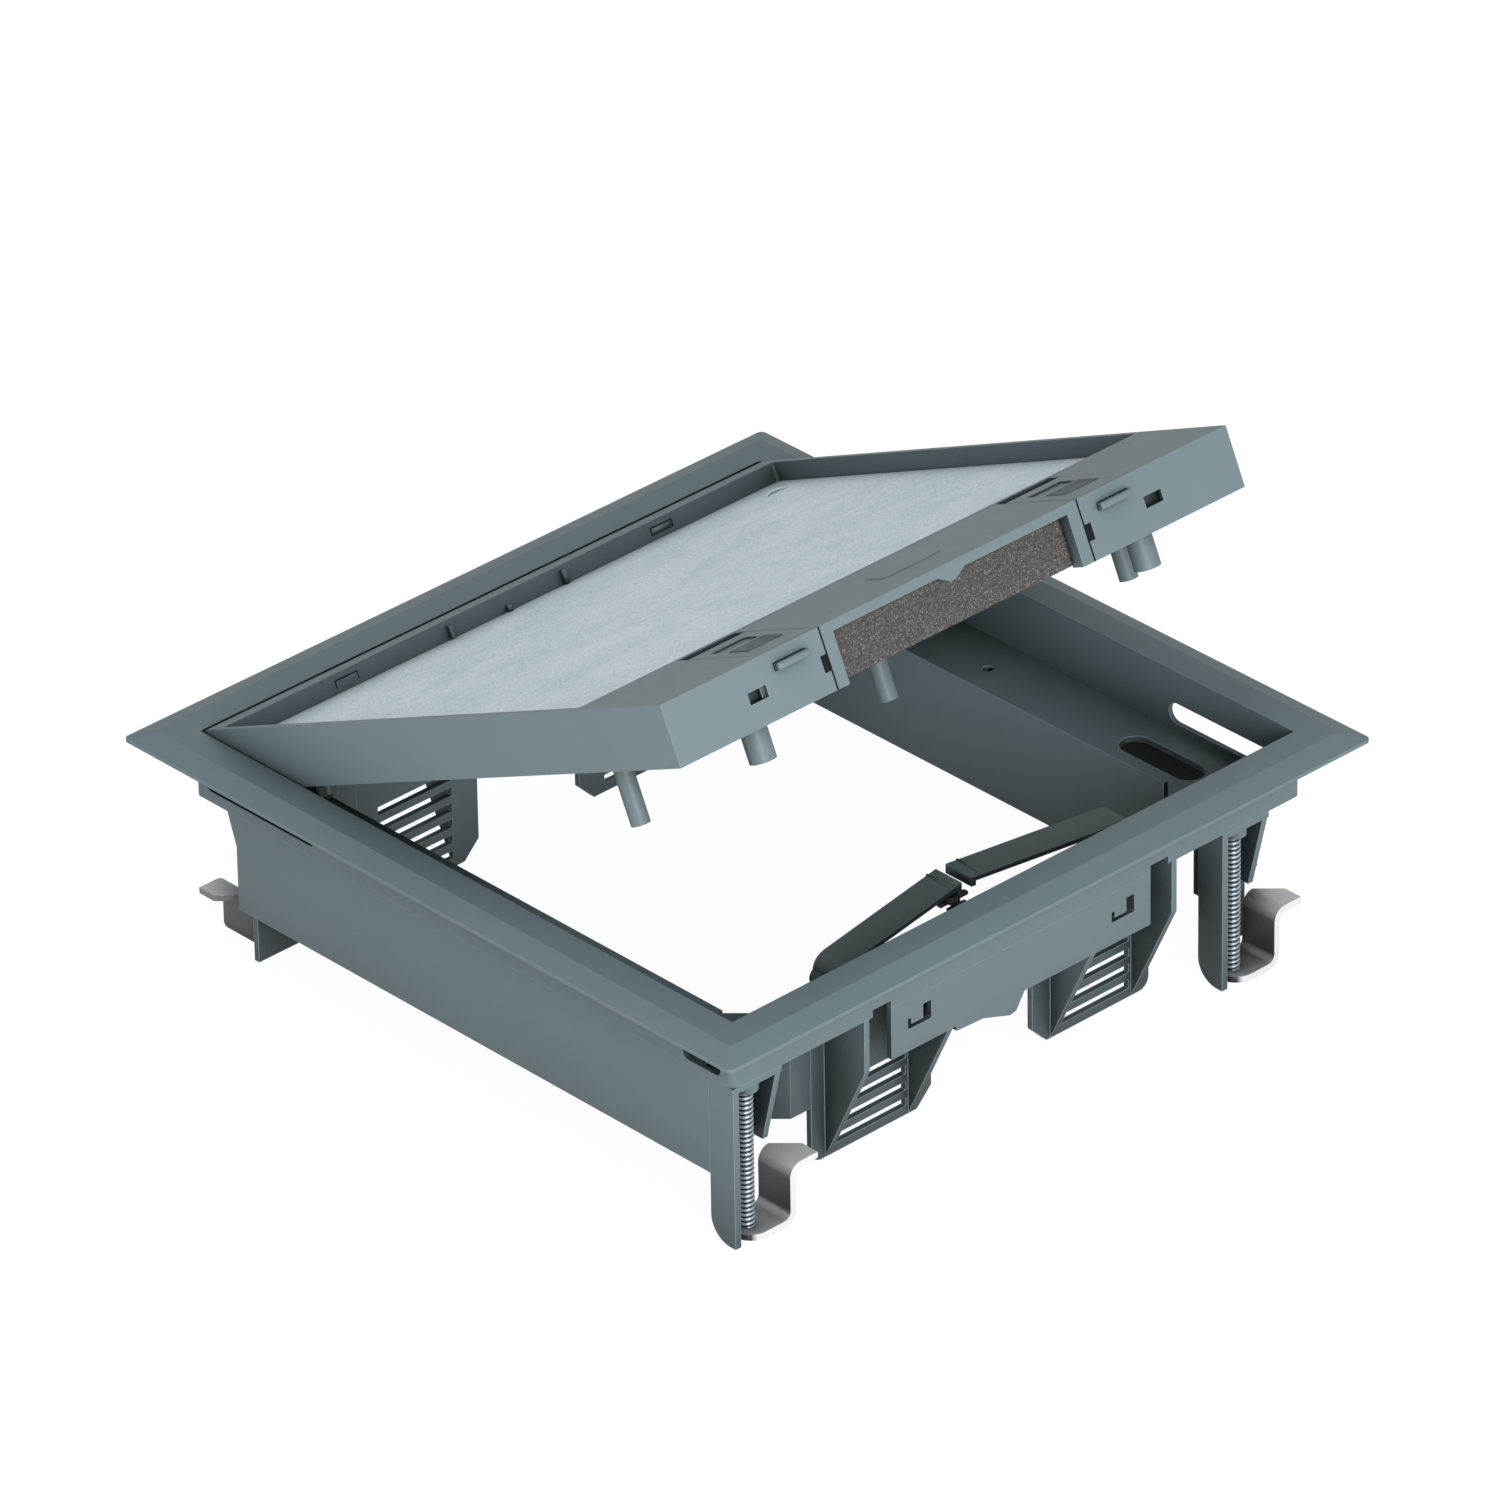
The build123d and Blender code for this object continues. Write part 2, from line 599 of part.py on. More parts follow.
def lid_upright(distance):
    """Plane across the lid facing its front, this far from the hinge pin: x across, y up."""
    return Plane(lid_frame.origin - lid_frame.y_dir * distance, x_dir=lid_frame.x_dir, z_dir=-lid_frame.y_dir)


def lid_section(shift):
    """Lengthwise plane in the lid: x towards the hinge, y up, normal across the lid."""
    return Plane(lid_frame.origin + lid_frame.x_dir * shift, x_dir=lid_frame.y_dir, z_dir=lid_frame.x_dir)


bar_rear = lid_length - bar_width

with BuildPart() as lid_tray:
    with BuildSketch(lid_section(-lid_half)):
        with BuildLine():
            Polyline((0, lid_top), (-lid_length, lid_top), (-lid_length, lid_bottom),
                     (-heel_length, lid_bottom), (0, -lid_top))
            RadiusArc((0, -lid_top), (0, lid_top), -lid_top)
        make_face()
    extrude(amount=2 * lid_half)
    # Recess for the steel plate
    with BuildSketch(lid_level(recess_floor)):
        with Locations((0, -(bar_rear + heel_length) / 2)):
            RectangleRounded(2 * (lid_half - lid_wall), bar_rear - heel_length, cell_corner)
    extrude(amount=plate_drop + plate_thickness, mode=Mode.SUBTRACT)
    # Hollow underside, left with lengthwise and cross ribs
    hollow = recess_floor - lid_floor - lid_bottom
    cells_length = bar_rear - heel_length - lid_floor
    cell_x = (2 * (lid_half - lid_wall) - (rib_columns - 1) * lid_rib) / rib_columns
    cell_y = (cells_length - (rib_rows - 1) * lid_rib) / rib_rows
    with BuildSketch(lid_level(lid_bottom)):
        with Locations((0, -(bar_rear - cells_length / 2))):
            with GridLocations(cell_x + lid_rib, cell_y + lid_rib, rib_columns, rib_rows):
                RectangleRounded(cell_x, cell_y, cell_corner)
    extrude(amount=hollow, mode=Mode.SUBTRACT)
    # Hollow ends of the front bar, each side of the cord outlet
    bar_middle = -(lid_length - bar_width / 2)
    bar_cell = lid_half - lid_wall - latch_outer - lid_floor
    cell_middle = latch_outer + lid_floor + bar_cell / 2
    with BuildSketch(lid_level(lid_bottom)):
        with Locations((cell_middle, bar_middle), (-cell_middle, bar_middle)):
            RectangleRounded(bar_cell, bar_width - 2 * lid_wall, cell_corner)
    extrude(amount=lid_depth - lid_floor, mode=Mode.SUBTRACT)
    # Hollows under the latches
    nose_low = lid_top - nose_drop - nose_height - running_gap
    latch_cell_start = outlet_half + lid_wall
    latch_cell = latch_outer - latch_cell_end_wall - latch_cell_start
    cell_middle = latch_cell_start + latch_cell / 2
    with BuildSketch(lid_level(lid_bottom)):
        with Locations((cell_middle, bar_middle), (-cell_middle, bar_middle)):
            RectangleRounded(latch_cell, bar_width - 2 * lid_wall, cell_corner)
    extrude(amount=nose_low - lid_floor - lid_bottom, mode=Mode.SUBTRACT)
    # Passage for the cable arms under the closed lid
    with BuildSketch(lid_level(lid_bottom)):
        with Locations((0, -lid_length + arm_passage_start)):
            Rectangle(2 * arm_passage_half, arm_passage_length, align=(Align.CENTER, Align.MIN))
    extrude(amount=arm_passage_height, mode=Mode.SUBTRACT)
    # Gap for the cord outlet
    with BuildSketch(lid_level(lid_bottom)):
        with Locations((0, -lid_length)):
            Rectangle(2 * outlet_half, 2 * (bar_width - lid_wall))
    extrude(amount=lid_depth, mode=Mode.SUBTRACT)
    # Latch pockets: a plate seat, a nose channel and a slot in the front face
    pocket_floor = lid_top - latch_plate - running_gap
    for hand in (1, -1):
        with BuildSketch(lid_level(pocket_floor)):
            with Locations((hand * (latch_inner + latch_outer) / 2, -(lid_length + bar_rear) / 2)):
                Rectangle(latch_outer - latch_inner + 2 * running_gap, bar_width - 2 * lid_wall)
        extrude(amount=latch_plate + 1, mode=Mode.SUBTRACT)
        nose_slot = nose_outer - nose_inner + 2 * running_gap
        nose_middle = hand * (nose_inner + nose_outer) / 2
        with BuildSketch(lid_level(nose_low)):
            with Locations((nose_middle, -lid_length)):
                Rectangle(nose_slot, 2 * (nose_length + latch_travel + running_gap))
        extrude(amount=nose_height + 2 * running_gap, mode=Mode.SUBTRACT)
        with BuildSketch(lid_level(nose_low)):
            with Locations((nose_middle, -lid_length + nose_length - nose_link - running_gap)):
                Rectangle(nose_slot, nose_link + latch_travel + 2 * running_gap, align=(Align.CENTER, Align.MIN))
        extrude(amount=nose_drop + nose_height, mode=Mode.SUBTRACT)
        # Square window in the front face
        with BuildSketch(lid_upright(lid_length - lid_wall - sliver)):
            with Locations((hand * front_window_x, lid_top - front_window_drop)):
                Rectangle(front_window_width, front_window_height)
        extrude(amount=lid_wall + 2 * sliver, mode=Mode.SUBTRACT)
    # Guide pegs under the lid
    for places, radius, length in ((long_pegs, long_peg_radius, long_peg_length),
                                   (short_pegs, short_peg_radius, short_peg_length),
                                   (rear_pegs, long_peg_radius, rear_peg_length)):
        with BuildSketch(lid_level(lid_bottom)):
            with Locations(*places):
                Circle(radius)
        extrude(amount=-length)
    # Solid pads that carry the pegs
    with BuildSketch(lid_level(lid_bottom)):
        with Locations(*long_pegs, *short_pegs, *rear_pegs):
            Circle(peg_pad_radius)
    extrude(amount=hollow)
    # Bores for the hinge pins
    for hand in (1, -1):
        with BuildSketch(lid_section(hand * lid_half)):
            Circle(pin_diameter / 2 + pin_clearance)
        extrude(amount=-hand * (pin_seat + pin_clearance), mode=Mode.SUBTRACT)
save(lid_tray, "lid_tray")

with BuildPart() as hinge_pins:
    for hand in (1, -1):
        with BuildSketch(lid_section(hand * (lid_half - pin_seat))):
            Circle(pin_diameter / 2)
        extrude(amount=hand * pin_length)
save(hinge_pins, "hinge_pins")

with BuildPart() as steel_plate:
    plate_gap = 0.4
    with BuildSketch(lid_level(recess_floor)):
        with Locations((0, -(bar_rear + heel_length) / 2)):
            RectangleRounded(2 * (lid_half - lid_wall - plate_gap), bar_rear - heel_length - 2 * plate_gap, cell_corner)
    extrude(amount=plate_thickness)
save(steel_plate, "steel_plate")

with BuildPart() as cord_outlet:
    top_half = outlet_half - outlet_seam
    under = lid_top - outlet_top
    with BuildSketch(lid_level(under)):
        with Locations((0, -lid_length)):
            Rectangle(2 * top_half, bar_width - lid_wall - outlet_seam, align=(Align.CENTER, Align.MIN))
    extrude(amount=outlet_top)
    with BuildSketch(lid_level(lid_bottom)):
        with Locations(*((hand * (top_half - outlet_leg / 2), -lid_length) for hand in (1, -1))):
            Rectangle(outlet_leg, outlet_leg_depth, align=(Align.CENTER, Align.MIN))
    extrude(amount=lid_depth - outlet_top)
    # Rib behind the foam
    with BuildSketch(lid_level(under - backing_height)):
        with Locations((0, -lid_length + foam_setback + foam_thickness + running_gap)):
            Rectangle(2 * top_half, lid_rib, align=(Align.CENTER, Align.MIN))
    extrude(amount=backing_height)
    # Small V-shaped lip at the middle of the front edge
    with BuildSketch(lid_upright(lid_length)):
        with BuildLine():
            Polyline((-outlet_lip_half, under), (outlet_lip_half, under), (outlet_lip_flat, under - outlet_lip_drop),
                     (-outlet_lip_flat, under - outlet_lip_drop), close=True)
        make_face()
    extrude(amount=-outlet_lip_thickness)
    # Bare raised pad on top
    with BuildSketch(lid_level(lid_top)):
        with Locations((0, pad_setback - lid_length)):
            RectangleRounded(pad_width, pad_length, pad_corner)
    extrude(amount=pad_height)
save(cord_outlet, "cord_outlet")

with BuildPart() as foam_seal:
    foam_half = outlet_half - outlet_seam - outlet_leg - running_gap
    with BuildSketch(lid_level(lid_bottom + foam_lift)):
        with Locations((0, -lid_length + foam_setback)):
            Rectangle(2 * foam_half, foam_thickness, align=(Align.CENTER, Align.MIN))
    extrude(amount=lid_depth - outlet_top - foam_lift - running_gap)
save(foam_seal, "foam_seal")


def latch(hand):
    """Spring latch: a flat thumb plate with a finger slot, and a nose below its front end."""
    middle = (latch_inner + latch_outer) / 2
    front = -lid_length + lid_wall + running_gap
    with BuildPart() as piece:
        with BuildSketch(lid_level(lid_top - latch_plate)):
            with Locations((hand * middle, front)):
                Rectangle(latch_outer - latch_inner, latch_length - lid_wall, align=(Align.CENTER, Align.MIN))
            with Locations((hand * middle, front + latch_length - finger_slot_setback)):
                Rectangle(finger_slot_length, finger_slot_width, mode=Mode.SUBTRACT)
        extrude(amount=latch_plate)
        low = lid_top - nose_drop - nose_height
        nose_middle = hand * (nose_inner + nose_outer) / 2
        with BuildSketch(lid_level(low)):
            with Locations((nose_middle, -lid_length - nose_reach)):
                Rectangle(nose_outer - nose_inner, nose_length + nose_reach, align=(Align.CENTER, Align.MIN))
        extrude(amount=nose_height)
        with BuildSketch(lid_level(low)):
            with Locations((nose_middle, -lid_length + nose_length)):
                Rectangle(nose_outer - nose_inner, nose_link, align=(Align.CENTER, Align.MAX))
        extrude(amount=nose_drop + nose_height - latch_plate)
    return piece


save(latch(-1), "left_latch")
save(latch(1), "right_latch")
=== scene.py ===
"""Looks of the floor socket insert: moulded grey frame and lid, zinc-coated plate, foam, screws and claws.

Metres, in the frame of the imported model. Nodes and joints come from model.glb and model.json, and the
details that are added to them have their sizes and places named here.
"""

import json
import math

import bmesh
import bpy
import numpy as np
from mathutils import Matrix, Vector, noise

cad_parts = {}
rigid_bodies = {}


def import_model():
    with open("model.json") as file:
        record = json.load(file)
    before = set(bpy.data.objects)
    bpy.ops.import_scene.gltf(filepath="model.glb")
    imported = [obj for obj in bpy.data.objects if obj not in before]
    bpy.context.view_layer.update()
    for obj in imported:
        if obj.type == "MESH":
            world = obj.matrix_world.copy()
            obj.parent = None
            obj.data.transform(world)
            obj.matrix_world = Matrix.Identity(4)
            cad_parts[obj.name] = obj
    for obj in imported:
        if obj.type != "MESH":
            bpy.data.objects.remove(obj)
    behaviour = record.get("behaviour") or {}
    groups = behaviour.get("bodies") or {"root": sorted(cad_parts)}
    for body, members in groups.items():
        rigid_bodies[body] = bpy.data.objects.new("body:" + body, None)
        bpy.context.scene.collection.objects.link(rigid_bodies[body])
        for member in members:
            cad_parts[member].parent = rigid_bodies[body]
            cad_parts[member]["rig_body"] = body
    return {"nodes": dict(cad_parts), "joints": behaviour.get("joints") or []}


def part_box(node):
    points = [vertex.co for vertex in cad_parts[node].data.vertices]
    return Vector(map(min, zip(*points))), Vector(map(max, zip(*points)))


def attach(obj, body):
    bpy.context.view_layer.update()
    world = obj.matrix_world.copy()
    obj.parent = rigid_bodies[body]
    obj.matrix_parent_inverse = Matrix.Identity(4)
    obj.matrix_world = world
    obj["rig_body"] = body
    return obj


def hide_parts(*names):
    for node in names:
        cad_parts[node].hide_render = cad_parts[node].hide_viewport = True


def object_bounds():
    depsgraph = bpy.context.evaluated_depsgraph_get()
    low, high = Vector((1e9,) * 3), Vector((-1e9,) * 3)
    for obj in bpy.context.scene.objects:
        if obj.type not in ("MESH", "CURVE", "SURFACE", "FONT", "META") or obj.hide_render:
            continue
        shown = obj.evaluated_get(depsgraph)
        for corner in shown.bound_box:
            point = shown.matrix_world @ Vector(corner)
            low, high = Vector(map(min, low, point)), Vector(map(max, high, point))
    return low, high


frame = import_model()
cad_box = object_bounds()
MM = 0.001
nodes = frame["nodes"]
joints = {joint["name"]: joint for joint in frame["joints"]}

# Lid frame: u across, v towards the hinge, w up from the hinge pin
lid_angle = -math.radians(joints["lid_hinge"]["range_deg"][0])
lid_origin = Vector(joints["lid_hinge"]["pos_m"])
lid_matrix = Matrix.Translation(lid_origin) @ Matrix.Rotation(-lid_angle, 4, "X")
lid_inverse = lid_matrix.inverted()
near = 0.1 * MM             # points this close to an end face count as lying on it


def lid_points(node):
    """A node's points in the lid's own frame."""
    return np.array([lid_inverse @ vertex.co for vertex in nodes[node].data.vertices])


def corners(points):
    """Lowest and highest corners of some points."""
    return Vector(points.min(0)), Vector(points.max(0))


def lid_box(node):
    """Lowest and highest corners of a node in the lid's own frame."""
    return corners(lid_points(node))


# Node-tree helpers
shading_samples = 6
mix_first, mix_second, mix_result = 6, 7, 2      # the Mix node's own numbers for its colour sockets


class Shader:
    """A material with a Principled shader and short calls to add nodes."""

    def __init__(self, name):
        self.material = bpy.data.materials.new(name)
        self.material.use_nodes = True
        self.tree = self.material.node_tree
        self.principled = self.tree.nodes["Principled BSDF"]

    def node(self, kind, inputs=None, **settings):
        """Adds a node; inputs maps sockets' names or numbers to values or to other nodes' outputs."""
        made = self.tree.nodes.new(kind)
        for key, value in settings.items():
            setattr(made, key, value)
        for key, value in (inputs or {}).items():
            self.feed(made.inputs[key], value)
        return made

    def feed(self, socket, value):
        """Links an output to a socket, or sets its value."""
        if isinstance(value, bpy.types.NodeSocket):
            self.tree.links.new(value, socket)
        else:
            socket.default_value = value

    def set(self, **values):
        """Sets or links the Principled shader's own sockets."""
        for key, value in values.items():
            self.feed(self.principled.inputs[key.replace("_", " ")], value)

    def position(self, scale=(1, 1, 1), rotation=(0, 0, 0)):
        """Object coordinates, stretched and turned."""
        source = self.node("ShaderNodeTexCoord").outputs["Object"]
        mapping = self.node("ShaderNodeMapping", {"Vector": source, "Scale": scale, "Rotation": rotation})
        return mapping.outputs["Vector"]

    def noise(self, scale, detail=2.0, roughness=0.5, vector=None, distortion=0.0):
        """Noise with a scale in cells per metre."""
        inputs = {"Scale": scale, "Detail": detail, "Roughness": roughness, "Distortion": distortion,
                  "Vector": vector or self.position()}
        return self.node("ShaderNodeTexNoise", inputs).outputs["Fac"]

    def ramp(self, value, stops):
        """Colour ramp through stops of a place and an 8-bit colour."""
        made = self.node("ShaderNodeValToRGB", {"Fac": value})
        elements = made.color_ramp.elements
        while len(elements) < len(stops):
            elements.new(1.0)
        for element, (place, colour) in zip(elements, stops):
            element.position = place
            element.color = linear(*colour)
        return made.outputs["Color"]

    def range(self, value, low, high, from_low=0.0, from_high=1.0):
        """Maps a value from one range to another."""
        inputs = {"Value": value, "From Min": from_low, "From Max": from_high, "To Min": low, "To Max": high}
        return self.node("ShaderNodeMapRange", inputs).outputs["Result"]

    def mix(self, factor, first, second, blend_type="MIX"):
        """Mixes two colours."""
        made = self.node("ShaderNodeMix", data_type="RGBA", blend_type=blend_type)
        self.feed(made.inputs["Factor"], factor)
        self.feed(made.inputs[mix_first], first)
        self.feed(made.inputs[mix_second], second)
        return made.outputs[mix_result]

    def calculate(self, operation, *values):
        """Result of a math operation on these values."""
        made = self.node("ShaderNodeMath", dict(enumerate(values)), operation=operation)
        return made.outputs["Value"]

    def grey(self, level):
        """Grey colour of this level."""
        made = self.node("ShaderNodeCombineColor", {"Red": level, "Green": level, "Blue": level})
        return made.outputs["Color"]

    def rounded_normal(self, radius):
        """Normal that rounds sharp edges over this radius."""
        return self.node("ShaderNodeBevel", {"Radius": radius}, samples=shading_samples).outputs["Normal"]

    def own_normal(self):
        """The face's own normal in the object's axes."""
        return self.node("ShaderNodeTexCoord").outputs["Normal"]

    def edge_factor(self, rounded):
        """0 on flat faces, towards 1 where the rounded normal leaves the face's own."""
        plain = self.node("ShaderNodeNewGeometry").outputs["Normal"]
        dot = self.node("ShaderNodeVectorMath", {0: rounded, 1: plain}, operation="DOT_PRODUCT")
        return self.range(dot.outputs["Value"], 1.0, 0.0, from_low=0.75, from_high=0.999)

    def openness(self, distance, shade, closed_at, open_at):
        """Level from shade in hollows within this distance up to 1 in the open.

        The level starts to rise where closed_at of the surroundings are free, and is 1 from open_at on.
        """
        inputs = {"Distance": distance}
        occlusion = self.node("ShaderNodeAmbientOcclusion", inputs, samples=shading_samples)
        return self.range(occlusion.outputs["AO"], shade, 1.0, closed_at, open_at)

    def bump(self, height, strength, distance, normal=None):
        """Normal tilted by a height, over an optional normal."""
        inputs = {"Height": height, "Strength": strength, "Distance": distance}
        if normal is not None:
            inputs["Normal"] = normal
        return self.node("ShaderNodeBump", inputs).outputs["Normal"]


def linear(red, green, blue):
    """Linear colour with alpha from an 8-bit sRGB one."""
    def channel(value):
        value = value / 255
        return value / 12.92 if value <= 0.04045 else ((value + 0.055) / 1.055) ** 2.4
    return (channel(red), channel(green), channel(blue), 1.0)


# Materials
rise_name = "rise"          # attribute of the screws: 0 at the thread's root, 1 at its crest
line_scale, line_stretch = 900, (1, 1, 0.12)      # fine upright lines on drawn or rolled metal


def cloudy(shader, scale, low, high):
    """Grey factor that drifts slowly between two levels."""
    return shader.grey(shader.range(shader.noise(scale, detail=3), low, high))


def drawn_lines(shader):
    """Fine upright lines, as on drawn or rolled metal."""
    return shader.noise(line_scale, detail=3, roughness=0.6, vector=shader.position(line_stretch))


def moulded_plastic(name, colour, edge_highlight_colour, roughness, rounding):
    """Satin moulded plastic: faint cloudiness, fine grain, soft edges with a painted highlight, and painted
    shade in hollows.
    """
    cloud_scale, speck_scale, gloss_scale, grain_scale = 22, 2600, 140, 1900
    hollow_reach, hollow_shade = 60 * MM, 0.10
    shader = Shader(name)
    rounded = shader.rounded_normal(rounding)
    cloud = shader.range(shader.noise(cloud_scale, detail=3), low=0.94, high=1.06)
    speck = shader.range(shader.noise(speck_scale), low=0.95, high=1.05)
    # painted shade: the colour darkens in hollows and where other parts stand close
    hollows = shader.openness(hollow_reach, hollow_shade, closed_at=0.26, open_at=0.90)
    tone_and_painted_shade = shader.calculate("MULTIPLY", shader.calculate("MULTIPLY", cloud, speck), hollows)
    tinted = shader.mix(1.0, linear(*colour), shader.grey(tone_and_painted_shade), "MULTIPLY")
    # painted highlight: a lighter colour along the rounded edges
    edged = shader.mix(shader.edge_factor(rounded), tinted, linear(*edge_highlight_colour))
    gloss = shader.noise(gloss_scale, detail=4)
    grain = shader.noise(grain_scale, detail=3, roughness=0.6)
    shader.set(Base_Color=edged,
               Roughness=shader.range(gloss, low=roughness - 0.05, high=roughness + 0.06),
               Normal=shader.bump(grain, strength=0.10, distance=0.05 * MM, normal=rounded),
               Specular_IOR_Level=0.42)
    return shader.material


def coated_sheet(name):
    """Zinc-coated steel sheet: pale blue-grey with soft streaks, wisps and a fine sparkle, and painted shade
    where other parts stand close.
    """
    wisp_scale, streak_scale, sparkle_scale = 34, 170, 1300
    wisp_stretch, wisp_turn = (0.7, 1.4, 1), (0, 0, math.radians(-24))
    streak_stretch, streak_turn = (0.5, 1.8, 1), (0, 0, math.radians(-18))
    base_stops = [(0.34, (180, 203, 216)), (0.50, (201, 221, 232)), (0.64, (222, 238, 246))]
    streak_colour, streak_share = (240, 248, 253), 0.40
    sparkle_stops = [(0.34, (178, 198, 211)), (0.50, (222, 238, 247)), (0.66, (253, 255, 255))]
    sparkle_share = 0.55
    hollow_reach, hollow_shade = 22 * MM, 0.30
    shader = Shader(name)
    wisp_axes = shader.position(wisp_stretch, wisp_turn)
    wisps = shader.noise(wisp_scale, detail=6, roughness=0.68, vector=wisp_axes, distortion=0.9)
    streak_axes = shader.position(streak_stretch, streak_turn)
    streaks = shader.noise(streak_scale, detail=5, roughness=0.7, vector=streak_axes, distortion=0.6)
    sparkle = shader.noise(sparkle_scale, detail=3, roughness=0.6)
    streak_factor = shader.range(streaks, 0.0, streak_share, from_low=0.45, from_high=0.70)
    streaked = shader.mix(streak_factor, shader.ramp(wisps, base_stops), linear(*streak_colour))
    fine = shader.mix(sparkle_share, streaked, shader.ramp(sparkle, sparkle_stops))
    # painted shade where walls and other parts stand close to the sheet
    hollows = shader.openness(hollow_reach, hollow_shade, closed_at=0.35, open_at=0.80)
    height = shader.calculate("ADD", streaks, sparkle)
    shader.set(Base_Color=shader.mix(1.0, fine, shader.grey(hollows), "MULTIPLY"),
               Roughness=shader.range(wisps, low=0.62, high=0.48),
               Normal=shader.bump(height, strength=0.30, distance=0.05 * MM),
               Metallic=0.10)
    return shader.material


def open_foam(name):
    """Dark brown-grey foam with fine pale and black pores."""
    pore_scale, clump_scale = 3600, 1300
    pore_share, clump_share = 0.72, 0.28
    stops = [(0.36, (52, 49, 48)), (0.48, (76, 73, 71)), (0.57, (98, 94, 91)), (0.66, (190, 184, 178))]
    shader = Shader(name)
    pores = shader.noise(pore_scale, detail=3, roughness=0.75)
    clumps = shader.range(shader.noise(clump_scale), 0.0, clump_share)
    mixed = shader.calculate("MULTIPLY_ADD", pores, pore_share, clumps)
    shader.set(Base_Color=shader.ramp(mixed, stops),
               Roughness=0.95,
               Normal=shader.bump(pores, strength=0.5, distance=0.2 * MM),
               Specular_IOR_Level=0.2)
    return shader.material


def plated_screw(name):
    """Zinc-plated thread: a painted highlight on the crests, painted shade in the roots, and fine drawn
    lines.
    """
    root_shade_colour, crest_highlight_colour = (26, 34, 40), (178, 192, 202)
    cloud_scale = 160
    shader = Shader(name)
    rounded = shader.rounded_normal(radius=0.15 * MM)
    rise = shader.node("ShaderNodeAttribute", attribute_name=rise_name).outputs["Fac"]
    # painted shade in the thread's roots and a painted highlight on its crests
    crests = shader.range(rise, 0.0, 1.0, from_low=0.15, from_high=0.85)
    metal = shader.mix(crests, linear(*root_shade_colour), linear(*crest_highlight_colour))
    lines = drawn_lines(shader)
    clouds = cloudy(shader, cloud_scale, low=0.90, high=1.08)
    shader.set(Base_Color=shader.mix(1.0, metal, clouds, "MULTIPLY"),
               Roughness=shader.range(lines, low=0.24, high=0.38),
               Normal=shader.bump(lines, strength=0.12, distance=0.03 * MM, normal=rounded),
               Metallic=0.55)
    return shader.material


def stamped_strip(name):
    """Stamped steel strip with satin faces, painted as lit and shaded: painted shade inside the bends,
    and a painted highlight on the sheared edges.

    The strip's sheared edges face to the front and rear. Its upper faces are painted lighter and the
    others darker, as light falling from above would make them.
    """
    # The dark and light colours are painted shade and painted light on the same steel; the edge colour is a
    # painted highlight.
    shaded_strip_colour, lit_strip_colour, edge_highlight_colour = (38, 41, 43), (222, 223, 225), (232, 231, 232)
    bend_reach, bend_shade = 30 * MM, 0.0
    cloud_scale = 300
    shader = Shader(name)
    rounded = shader.rounded_normal(radius=0.25 * MM)
    facing = shader.node("ShaderNodeSeparateXYZ", {"Vector": shader.own_normal()})
    sheared = shader.calculate("ABSOLUTE", facing.outputs["Y"])
    edge = shader.range(sheared, 0.0, 1.0, from_low=0.75, from_high=0.92)
    # painted light: faces that look up get the lighter colour
    upward = shader.range(facing.outputs["Z"], 0.25, 1.0, from_low=0.0, from_high=0.7)
    # painted shade inside the bends and near other parts
    bends = shader.openness(bend_reach, bend_shade, closed_at=0.45, open_at=0.78)
    light = shader.calculate("MULTIPLY", bends, upward)
    face = shader.mix(light, linear(*shaded_strip_colour), linear(*lit_strip_colour))
    metal = shader.mix(edge, face, linear(*edge_highlight_colour))
    lines = drawn_lines(shader)
    clouds = cloudy(shader, cloud_scale, low=0.90, high=1.06)
    shader.set(Base_Color=shader.mix(1.0, metal, clouds, "MULTIPLY"),
               Roughness=shader.range(lines, low=0.30, high=0.44),
               Normal=shader.bump(lines, strength=0.10, distance=0.02 * MM, normal=rounded),
               Metallic=0.20)
    return shader.material


def painted_gap_shade(name):
    """Painted shade of an open gap: matt near-black, faintly uneven."""
    gap_shade_colour = (26, 32, 34)
    cloud_scale, gloss_scale = 600, 900
    shader = Shader(name)
    clouds = cloudy(shader, cloud_scale, low=0.75, high=1.15)
    shader.set(Base_Color=shader.mix(1.0, linear(*gap_shade_colour), clouds, "MULTIPLY"),
               Roughness=shader.range(shader.noise(gloss_scale), low=0.75, high=0.92),
               Specular_IOR_Level=0.15)
    return shader.material


# The second colour of each plastic is a painted highlight along its rounded edges.
frame_plastic = moulded_plastic("frame_plastic", colour=(102, 119, 124), edge_highlight_colour=(136, 154, 159),
                                roughness=0.48, rounding=0.55 * MM)
lid_plastic = moulded_plastic("lid_plastic", colour=(109, 126, 131), edge_highlight_colour=(138, 156, 161),
                              roughness=0.46, rounding=0.35 * MM)
arm_plastic = moulded_plastic("arm_plastic", colour=(94, 109, 111), edge_highlight_colour=(122, 137, 139),
                              roughness=0.44, rounding=0.35 * MM)
zinc_sheet = coated_sheet("zinc_sheet")
foam_material = open_foam("outlet_foam")
screw_zinc = plated_screw("screw_zinc")
claw_steel = stamped_strip("claw_steel")
gap_shade_paint = painted_gap_shade("gap_shade_paint")


def material_of(name):
    """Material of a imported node, by its name."""
    if name.endswith("claw") or name == "hinge_pins":
        return claw_steel
    if name.endswith("screw"):
        return screw_zinc
    if name.endswith("arm"):
        return arm_plastic
    if name == "steel_plate":
        return zinc_sheet
    if name in ("lid_tray", "cord_outlet", "left_latch", "right_latch"):
        return lid_plastic
    return frame_plastic


for name, node in nodes.items():
    node.data.materials.clear()
    node.data.materials.append(material_of(name))


